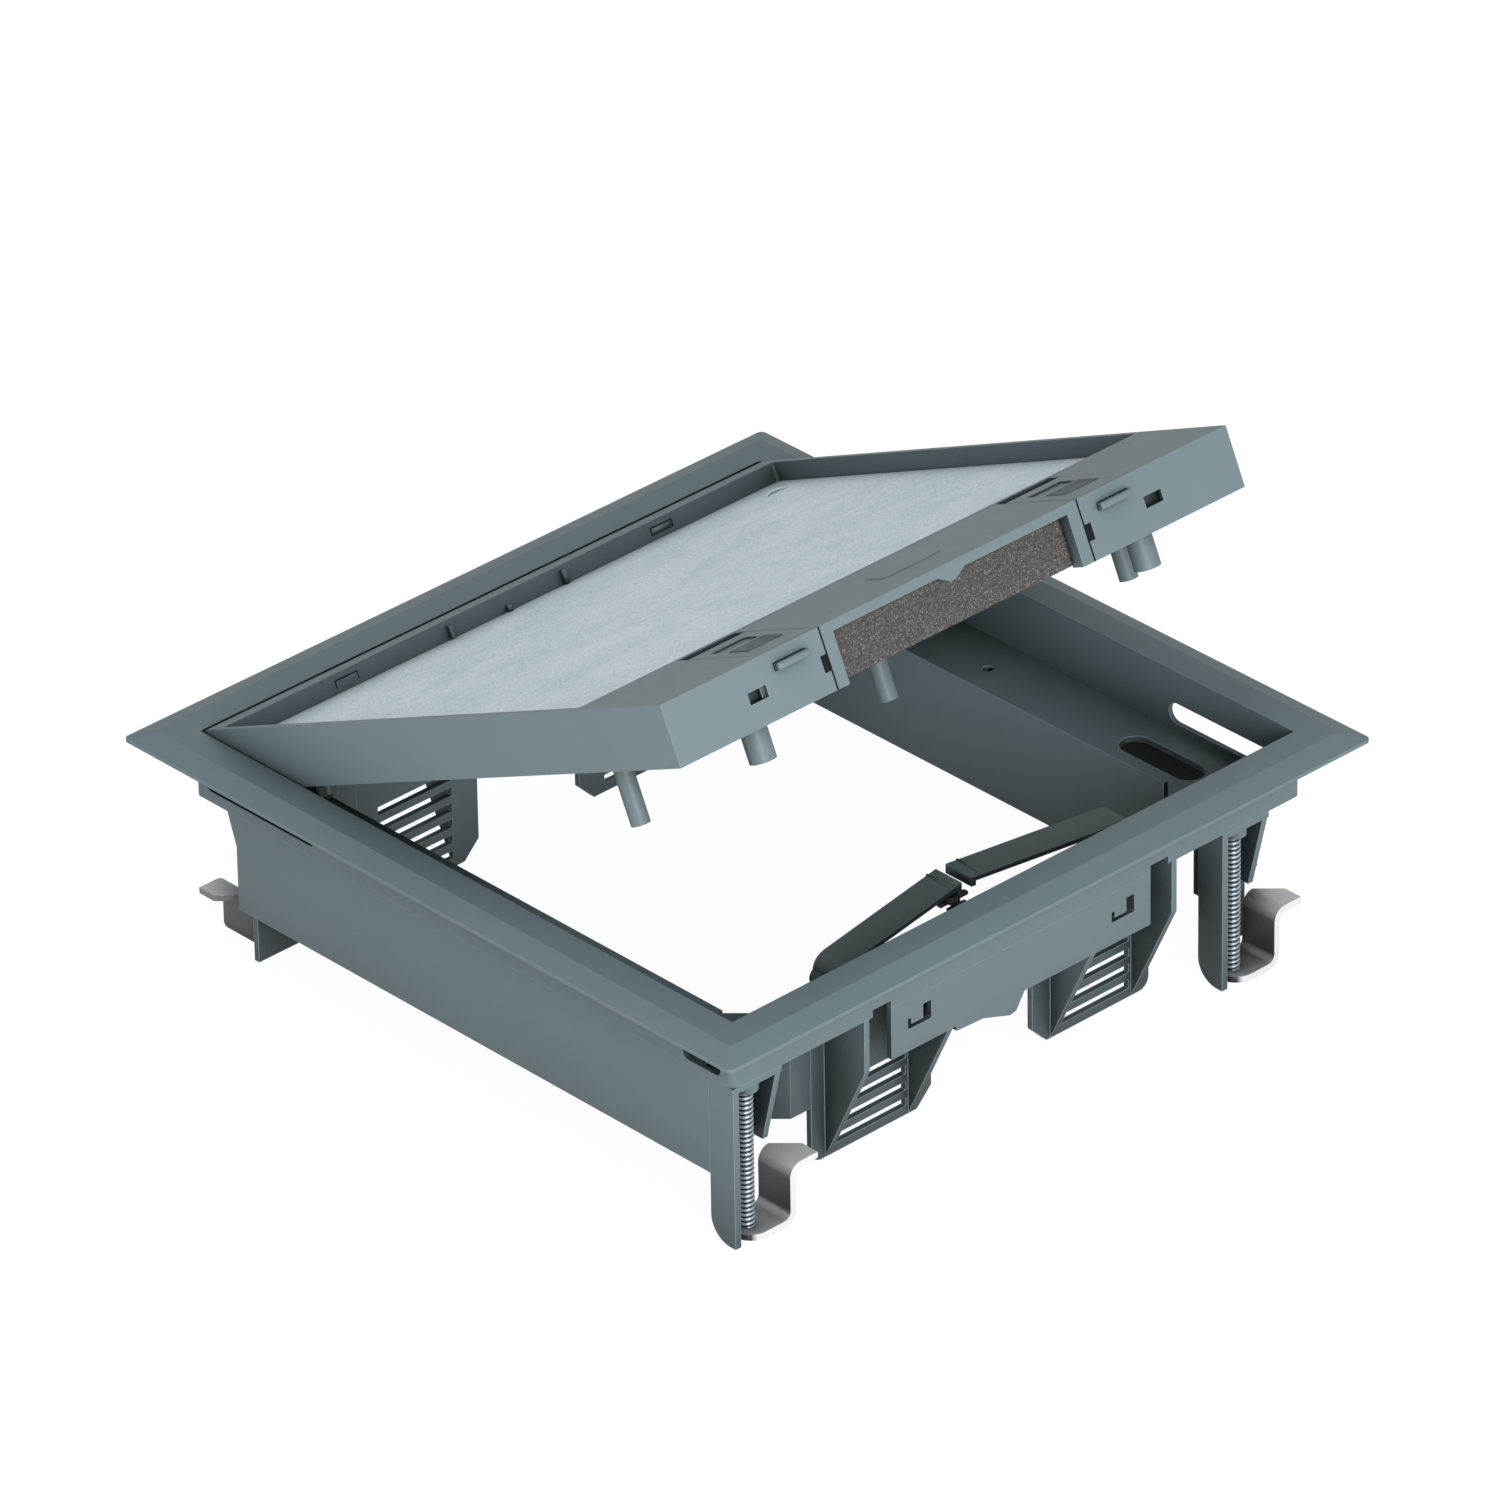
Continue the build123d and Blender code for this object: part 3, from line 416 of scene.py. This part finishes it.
# Mesh helpers
def make_object(name, bm, material, smooth=True):
    """Turns a bmesh into an object with one material."""
    bmesh.ops.recalc_face_normals(bm, faces=bm.faces)
    mesh = bpy.data.meshes.new(name)
    bm.to_mesh(mesh)
    bm.free()
    mesh.materials.append(material)
    for polygon in mesh.polygons:
        polygon.use_smooth = smooth
    made = bpy.data.objects.new(name, mesh)
    bpy.context.scene.collection.objects.link(made)
    return made


def everything(bm):
    """All points, edges and faces of a bmesh, for a cut through the whole of it."""
    return bm.verts[:] + bm.edges[:] + bm.faces[:]


def rings_to_mesh(bm, rings):
    """Joins rings of points, each as long as the next, into a closed skin with end caps."""
    loops = [[bm.verts.new(point) for point in ring] for ring in rings]
    count = len(loops[0])
    for lower, upper in zip(loops, loops[1:]):
        for here in range(count):
            after = (here + 1) % count
            bm.faces.new((lower[here], lower[after], upper[after], upper[here]))
    bm.faces.new(list(reversed(loops[0])))
    bm.faces.new(loops[-1])


def block(bm, low, high, rounding):
    """Adds a box between two corners to a bmesh and rounds its edges."""
    low, high = Vector(low), Vector(high)
    first_edge = len(bm.edges)
    shape = Matrix.Translation((low + high) / 2) @ Matrix.Diagonal((*(high - low), 1))
    bmesh.ops.create_cube(bm, size=1.0, matrix=shape)
    bm.edges.ensure_lookup_table()
    bmesh.ops.bevel(bm, geom=bm.edges[first_edge:], offset=rounding, segments=3, profile=0.5, affect="EDGES")


def mirrored(hand):
    """Keeps a shape on the right where hand is 1, and mirrors it to the left where hand is -1."""
    return Matrix.Diagonal((hand, 1, 1, 1))


def small_piece(name, bm, material, body, place=Matrix()):
    """Finishes a small piece: moves its mesh into place and lets it ride on a body."""
    bm.transform(place)
    made = make_object(name, bm, material)
    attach(made, body)


def lid_piece(name, bm, material, hand=1):
    """Finishes a small piece that is drawn in the lid's frame and rides on the lid."""
    small_piece(name, bm, material, "lid", lid_matrix @ mirrored(hand))


# Clamp screws with real threads
thread_pitch = 1.6 * MM
thread_depth = 0.55 * MM
thread_radius = 2.46 * MM
crest_fullness = 1.4
head_height = 1.7 * MM
head_cut_rise = 0.02 * MM   # the CAD shank is cut away this far above the head's lower face
shank_in_head = 0.5         # the threaded shank reaches this share of the way up the head
tip_turns = 1.2             # turns over which the shank tapers at its foot
tip_taper = 0.3 * MM
ring_points = 28
rings_per_turn = 10


def screw_head(node, head_low):
    """Mesh of the CAD screw's head alone, closed where its shank is cut away."""
    bm = bmesh.new()
    bm.from_mesh(nodes[node].data)
    cut = bmesh.ops.bisect_plane(bm, geom=everything(bm), plane_co=(0, 0, head_low + head_cut_rise),
                                 plane_no=(0, 0, 1), clear_inner=True)
    rim = [item for item in cut["geom_cut"] if isinstance(item, bmesh.types.BMEdge)]
    bmesh.ops.holes_fill(bm, edges=rim, sides=0)
    return bm


def thread_ring(centre, foot, height):
    """Ring of points around the threaded shank, at a height above its foot."""
    fade = min(1.0, height / (tip_turns * thread_pitch))
    ring = []
    for point in range(ring_points):
        angle = 2 * math.pi * point / ring_points
        phase = (height / thread_pitch - angle / (2 * math.pi)) % 1.0
        wave = 0.5 - 0.5 * math.cos(2 * math.pi * phase)
        radius = thread_radius - thread_depth * wave ** crest_fullness - (1 - fade) * tip_taper
        ring.append((centre.x + radius * math.cos(angle), centre.y + radius * math.sin(angle), foot + height))
    return ring


def store_rise(screw, centre):
    """Stores how far each point stands between the thread's root and its crest."""
    rise = screw.data.attributes.new(rise_name, "FLOAT", "POINT")
    for index, vertex in enumerate(screw.data.vertices):
        radius = math.hypot(vertex.co.x - centre.x, vertex.co.y - centre.y)
        rise.data[index].value = max(0.0, min(1.0, (radius - thread_radius) / thread_depth + 1))


def threaded_screw(node):
    """Screw with the CAD head and a helical thread down its shank; it stands for the plain CAD screw."""
    low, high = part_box(node)
    centre = (low + high) / 2
    head_low = high.z - head_height
    bm = screw_head(node, head_low)
    length = head_low + shank_in_head * head_height - low.z
    ring_count = int(length / thread_pitch * rings_per_turn)
    heights = [length * step / ring_count for step in range(ring_count + 1)]
    rings_to_mesh(bm, [thread_ring(centre, low.z, height) for height in heights])
    screw = make_object(f"{node}_thread", bm, screw_zinc)
    store_rise(screw, centre)
    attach(screw, nodes[node]["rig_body"])
    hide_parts(node)


for name in sorted(nodes):
    if name.endswith("clamp_screw"):
        threaded_screw(name)


# Foam seal in the cord outlet
foam_cell = 1.1 * MM
foam_corner = 0.9 * MM
foam_roughness = 0.22 * MM
foam_wobble_scale = 520     # cells per metre of the skin's unevenness
foam_seed = 1               # without a seed the skin would follow the clock and differ in each run
smallest_offset = 1e-9


def cut_into_cells(bm, counts):
    """Cuts a unit cube about the origin into this many slices along each axis."""
    for axis in range(3):
        for cut in range(1, counts[axis]):
            place = Vector((0, 0, 0))
            place[axis] = cut / counts[axis] - 0.5
            normal = Vector((0, 0, 0))
            normal[axis] = 1
            bmesh.ops.bisect_plane(bm, geom=everything(bm), plane_co=place, plane_no=normal)


def rounded_corner(point, core):
    """Draws a point in, so that a box gets round edges about its core of these half sizes."""
    inner = Vector([max(-core[axis], min(core[axis], point[axis])) for axis in range(3)])
    offset = point - inner
    if offset.length <= smallest_offset:
        return point
    return inner + offset.normalized() * min(offset.length, foam_corner)


def foam_block():
    """Foam seal: a soft-edged block with a porous, slightly uneven skin."""
    noise.seed_set(foam_seed)
    low, high = lid_box("foam_seal")
    size = high - low
    centre = (low + high) / 2
    core = [size[axis] / 2 - foam_corner for axis in range(3)]
    bm = bmesh.new()
    bmesh.ops.create_cube(bm, size=1.0)
    cut_into_cells(bm, [max(2, round(size[axis] / foam_cell)) for axis in range(3)])
    for vertex in bm.verts:
        point = Vector([vertex.co[axis] * (size[axis] - 2 * foam_roughness) for axis in range(3)])
        point = rounded_corner(point, core)
        wobble = noise.noise_vector(point * foam_wobble_scale) * foam_roughness
        vertex.co = lid_matrix @ (centre + point + wobble)
    foam = make_object("outlet_foam_block", bm, foam_material)
    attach(foam, "lid")
    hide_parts("foam_seal")


foam_block()


# Crescent lug pressed up from the steel plate
plate_top = lid_box("steel_plate")[1]      # the plate's highest, rear right corner in the lid's frame


def plate_crescent():
    """Half-moon lug near the plate's rear right corner, thin at both ends."""
    across, along = 101 * MM, -23 * MM
    outer, inner, height, sunk = 6.0 * MM, 4.5 * MM, 1.0 * MM, 0.1 * MM
    start, end, steps = math.radians(35), math.radians(145), 24
    end_fullness, top_share, least_width, least_height = 0.6, 0.6, 0.08, 0.1
    centre = Vector((across, along, plate_top.z))
    middle = (outer + inner) / 2
    rings = []
    for step in range(steps + 1):
        share = step / steps
        angle = start + (end - start) * share
        fullness = math.sin(math.pi * share) ** end_fullness
        half = (outer - inner) / 2 * max(least_width, fullness)
        top = height * max(least_height, fullness)
        section = ((middle - half, -sunk), (middle - half * top_share, top),
                   (middle + half * top_share, top), (middle + half, -sunk))
        ring = []
        for radius, rise in section:
            corner = Vector((radius * math.cos(angle), radius * math.sin(angle), rise))
            ring.append(lid_matrix @ (centre + corner))
        rings.append(ring)
    bm = bmesh.new()
    rings_to_mesh(bm, rings)
    crescent = make_object("plate_crescent", bm, zinc_sheet)
    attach(crescent, "lid")


plate_crescent()


# Small details of the latches
def nose_cap(side):
    """Rounded cap over the latch's nose, in front of the lid's face."""
    reach, depth, wall, rounding = 0.5 * MM, 1.8 * MM, 0.15 * MM, 0.9 * MM
    latch = f"{side}_latch"
    points = lid_points(latch)
    low, high = corners(points[points[:, 1] < points[:, 1].min() + near])
    cap = bmesh.new()
    block(cap, (low.x - wall, low.y - reach, low.z - wall),
          (high.x + wall, low.y + depth, high.z + wall), rounding)
    small_piece(f"{side}_nose_cap", cap, lid_plastic, nodes[latch]["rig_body"], lid_matrix)


def latch_grip(side):
    """Sunk thumb dish in the finger slot, and grip ridges in front of it."""
    dish_half, dish_rounding = 6.95 * MM, 0.25 * MM
    dish_rear, dish_front = 5.05 * MM, 11.95 * MM       # from the latch's rear end
    dish_top, dish_foot = 0.6 * MM, 2.2 * MM            # below the latch's top
    ridge_count, ridge_pitch, ridge_width, ridge_height = 6, 1.6 * MM, 0.7 * MM, 0.3 * MM
    ridge_gap, ridge_sunk, ridge_rounding = 2 * MM, 0.1 * MM, 0.14 * MM
    latch = f"{side}_latch"
    low, high = lid_box(latch)
    left = (low.x + high.x) / 2 - dish_half
    right = (low.x + high.x) / 2 + dish_half
    grip = bmesh.new()
    block(grip, (left, high.y - dish_front, high.z - dish_foot),
          (right, high.y - dish_rear, high.z - dish_top), dish_rounding)
    for ridge in range(ridge_count):
        rear = high.y - dish_front - ridge_gap - ridge * ridge_pitch
        block(grip, (left, rear - ridge_width, high.z - ridge_sunk),
              (right, rear, high.z + ridge_height), ridge_rounding)
    small_piece(f"{side}_latch_grip", grip, lid_plastic, nodes[latch]["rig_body"], lid_matrix)


for side in ("left", "right"):
    nose_cap(side)
    latch_grip(side)


# Small details of the lid's front
def outlet_seam_shade(side, hand):
    """Thin near-black piece of painted shade for the open seam beside the cord outlet, with a notch on its
    outer side.
    """
    gap, half_width, proud, depth, rounding = 0.15 * MM, 0.32 * MM, 0.04 * MM, 0.3 * MM, 0.02 * MM
    notch_width, notch_top, notch_foot = 2.6 * MM, 8.2 * MM, 13.4 * MM
    outlet_low, outlet_high = lid_box("cord_outlet")
    low, high = lid_box("lid_tray")
    across = outlet_high.x + gap
    front, rear = low.y - proud, low.y + depth
    seam = bmesh.new()
    block(seam, (across - half_width, front, outlet_low.z), (across + half_width, rear, high.z), rounding)
    block(seam, (across, front, high.z - notch_foot),
          (across + notch_width, rear, high.z - notch_top), rounding)
    lid_piece(f"{side}_outlet_seam_shade", seam, gap_shade_paint, hand)


def window_wall(side, hand):
    """Wall seen through the window in the lid's front."""
    across, half_width, half_height = 80.4 * MM, 5.6 * MM, 3 * MM
    drop, set_back, thickness, rounding = 10.3 * MM, 3.6 * MM, 1.2 * MM, 0.1 * MM
    low, high = lid_box("lid_tray")
    front, middle = low.y + set_back, high.z - drop
    wall = bmesh.new()
    block(wall, (across - half_width, front, middle - half_height),
          (across + half_width, front + thickness, middle + half_height), rounding)
    lid_piece(f"{side}_window_wall", wall, lid_plastic, hand)


for side, hand in (("left", -1), ("right", 1)):
    outlet_seam_shade(side, hand)
    window_wall(side, hand)


# Small details of the wall behind the steel plate
recess_wall = plate_top.y + 0.4 * MM
recess_foot = plate_top.z


def recess_ribs():
    """Three small upright ribs, the middle one lower than the others."""
    places_and_heights = ((-23.5 * MM, 4.6 * MM), (0, 2.0 * MM), (23.5 * MM, 4.6 * MM))
    half_width, reach, sunk, rounding = 0.6 * MM, 1.8 * MM, 0.1 * MM, 0.3 * MM
    ribs = bmesh.new()
    for across, height in places_and_heights:
        block(ribs, (across - half_width, recess_wall - reach, recess_foot - sunk),
              (across + half_width, recess_wall + sunk, recess_foot + height), rounding)
    lid_piece("recess_ribs", ribs, lid_plastic)


def recess_panels(name, material, edge, proud, sunk, rounding):
    """Two thin panels on the wall, left and right, drawn in by an edge at their sides and top."""
    place, half_width, rise, height = 65 * MM, 4.6 * MM, 1.6 * MM, 2.6 * MM
    panels = bmesh.new()
    for across in (-place, place):
        block(panels, (across - half_width + edge, recess_wall - proud, recess_foot + rise),
              (across + half_width - edge, recess_wall + sunk, recess_foot + rise + height - edge), rounding)
    lid_piece(name, panels, material)


recess_ribs()
# The near-black panels are painted shade of two openings in the wall; the smaller covers stand in front of
# them.
recess_panels("recess_opening_shade", gap_shade_paint, edge=0, proud=0.04 * MM, sunk=0.2 * MM, rounding=0.02 * MM)
recess_panels("recess_covers", lid_plastic, edge=0.5 * MM, proud=0.10 * MM, sunk=0.1 * MM, rounding=0.04 * MM)


# Small details of the cable arms
def arm_end(side):
    """Free end of an arm: its distance from the middle, its front, its rear and its top."""
    arm = f"{side}_cable_arm"
    low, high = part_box(arm)
    tip = min(abs(low.x), abs(high.x))
    points = np.array([vertex.co for vertex in nodes[arm].data.vertices])
    at_tip = points[np.abs(points[:, 0]) < tip + near]
    return tip, at_tip[:, 1].min(), at_tip[:, 1].max(), at_tip[:, 2].max()


def arm_bead(side, hand):
    """Rounded bead along the free end of an arm, and a low ridge behind it."""
    overhang, width, drop, rise, rounding = 0.3 * MM, 2.9 * MM, 2.9 * MM, 0.5 * MM, 1.3 * MM
    ridge_start, ridge_end, ridge_inset = 3.9 * MM, 4.5 * MM, 0.4 * MM
    ridge_half, ridge_rounding = 0.2 * MM, 0.12 * MM
    tip, front, rear, top = arm_end(side)
    bead = bmesh.new()
    block(bead, (tip - overhang, front, top - drop), (tip + width, rear, top + rise), rounding)
    block(bead, (tip + ridge_start, front + ridge_inset, top - ridge_half),
          (tip + ridge_end, rear - ridge_inset, top + ridge_half), ridge_rounding)
    body = nodes[f"{side}_cable_arm"]["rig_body"]
    small_piece(f"{side}_arm_bead", bead, arm_plastic, body, mirrored(hand))


def cord_comb():
    """Small comb under the left arm's free end that keeps the cords apart."""
    spine_drop, spine_foot = 2.4 * MM, 9.0 * MM         # below the arm's top
    spine_outside, spine_inside = 1.5 * MM, 0.2 * MM    # from the arm's end
    inset, length, rounding = 0.3 * MM, 10.0 * MM, 0.25 * MM
    tooth_count, tooth_width, tooth_height, level_rise = 3, 1.8 * MM, 1.1 * MM, 3.6 * MM
    teeth_past_end, teeth_past_middle = 4.4 * MM, 0.9 * MM
    tip, arm_front, _, top = arm_end("left")
    front, foot = arm_front + inset, top - spine_foot
    comb = bmesh.new()
    block(comb, (-tip - spine_outside, front, foot),
          (-tip - spine_inside, front + length, top - spine_drop), rounding)
    tooth_pitch = (length - tooth_width) / (tooth_count - 1)
    for level in (foot, foot + level_rise):
        for tooth in range(tooth_count):
            start = front + tooth * tooth_pitch
            block(comb, (-tip - teeth_past_end, start, level),
                  (teeth_past_middle, start + tooth_width, level + tooth_height), rounding)
    small_piece("cord_comb", comb, arm_plastic, nodes["left_cable_arm"]["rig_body"])


arm_bead("left", -1)
arm_bead("right", 1)
cord_comb()


# Camera at the photograph's angle
def add_camera():
    """Camera solved from the flange's four corners in the photograph."""
    azimuth, elevation, roll = math.radians(-43.075), math.radians(30.9), math.radians(-0.95)
    distance = 3.850
    aim_across, aim_up = 1.06 * MM, -3.58 * MM
    image_side = 1500
    focal_pixels = 12880.0
    sensor = 36.0
    lip_top = 74.5 * MM
    back = Vector((math.sin(azimuth) * math.cos(elevation),
                   -math.cos(azimuth) * math.cos(elevation),
                   math.sin(elevation)))
    level = Vector((math.cos(azimuth), math.sin(azimuth), 0))
    upward = back.cross(level)
    right = math.cos(roll) * level + math.sin(roll) * upward
    up = -math.sin(roll) * level + math.cos(roll) * upward
    eye = back * distance + right * aim_across + up * aim_up + Vector((0, 0, lip_top))
    camera = bpy.data.objects.new("camera", bpy.data.cameras.new("camera"))
    camera.matrix_world = Matrix.Translation(eye) @ Matrix((right, up, back)).transposed().to_4x4()
    camera.data.sensor_width = sensor
    camera.data.lens = focal_pixels / image_side * sensor
    camera.data.clip_end = 100
    bpy.context.scene.collection.objects.link(camera)
    bpy.context.scene.camera = camera


add_camera()


# Lights, world and floor
lamps_aim = Vector((0, 0, 60 * MM))


def add_area_light(name, direction, distance, size, power):
    """Soft square lamp that looks at the middle of the object."""
    lamp = bpy.data.lights.new(name, "AREA")
    lamp.shape = "SQUARE"
    lamp.size = size
    lamp.energy = power
    made = bpy.data.objects.new(name, lamp)
    made.location = lamps_aim + Vector(direction).normalized() * distance
    made.rotation_euler = Vector(direction).to_track_quat("Z", "Y").to_euler()
    bpy.context.scene.collection.objects.link(made)


add_area_light("key", direction=(-0.42, -0.85, 0.42), distance=1.8, size=1.0, power=26)
add_area_light("top", direction=(-0.2, 0.1, 1.0), distance=1.8, size=0.9, power=9)


def add_world(horizon, zenith, zenith_from):
    """White where seen directly; as light it is brightest around the horizon and weaker overhead."""
    world = bpy.data.worlds.new("world")
    bpy.context.scene.world = world
    world.use_nodes = True
    tree = world.node_tree
    background = tree.nodes["Background"]
    path = tree.nodes.new("ShaderNodeLightPath")
    direction = tree.nodes.new("ShaderNodeTexCoord")
    split = tree.nodes.new("ShaderNodeSeparateXYZ")
    tree.links.new(direction.outputs["Generated"], split.inputs["Vector"])
    height = tree.nodes.new("ShaderNodeMapRange")
    height.inputs["From Max"].default_value = zenith_from
    height.inputs["To Min"].default_value = horizon
    height.inputs["To Max"].default_value = zenith
    tree.links.new(split.outputs["Z"], height.inputs["Value"])
    level = tree.nodes.new("ShaderNodeMix")
    tree.links.new(path.outputs["Is Camera Ray"], level.inputs["Factor"])
    tree.links.new(height.outputs["Result"], level.inputs["A"])
    level.inputs["B"].default_value = 1.0
    tree.links.new(level.outputs["Result"], background.inputs["Strength"])
    background.inputs["Color"].default_value = (1, 1, 1, 1)


add_world(horizon=0.85, zenith=0.20, zenith_from=0.8)


def add_floor():
    """White floor under the object: mostly glow where seen directly, so that its shadow stays faint."""
    half_side, white, roughness = 12, 0.9, 0.9
    glow_strength, glow_as_light, glow_as_seen = 1.06, 0.12, 0.90
    gap = 0.1 * MM
    bm = bmesh.new()
    bmesh.ops.create_grid(bm, x_segments=1, y_segments=1, size=half_side)
    shader = Shader("floor_white")
    shader.set(Base_Color=(white, white, white, 1), Roughness=roughness)
    glow = shader.node("ShaderNodeEmission", {"Color": (1, 1, 1, 1), "Strength": glow_strength})
    path = shader.node("ShaderNodeLightPath")
    share = shader.range(path.outputs["Is Camera Ray"], glow_as_light, glow_as_seen)
    blend = shader.node("ShaderNodeMixShader", {"Fac": share})
    shader.feed(blend.inputs[1], shader.principled.outputs["BSDF"])
    shader.feed(blend.inputs[2], glow.outputs["Emission"])
    shader.feed(shader.tree.nodes["Material Output"].inputs["Surface"], blend.outputs["Shader"])
    floor = make_object("floor", bm, shader.material, smooth=False)
    floor.location.z = cad_box[0].z - gap


add_floor()
bpy.context.scene.view_settings.view_transform = "Standard"

bpy.context.view_layer.update()
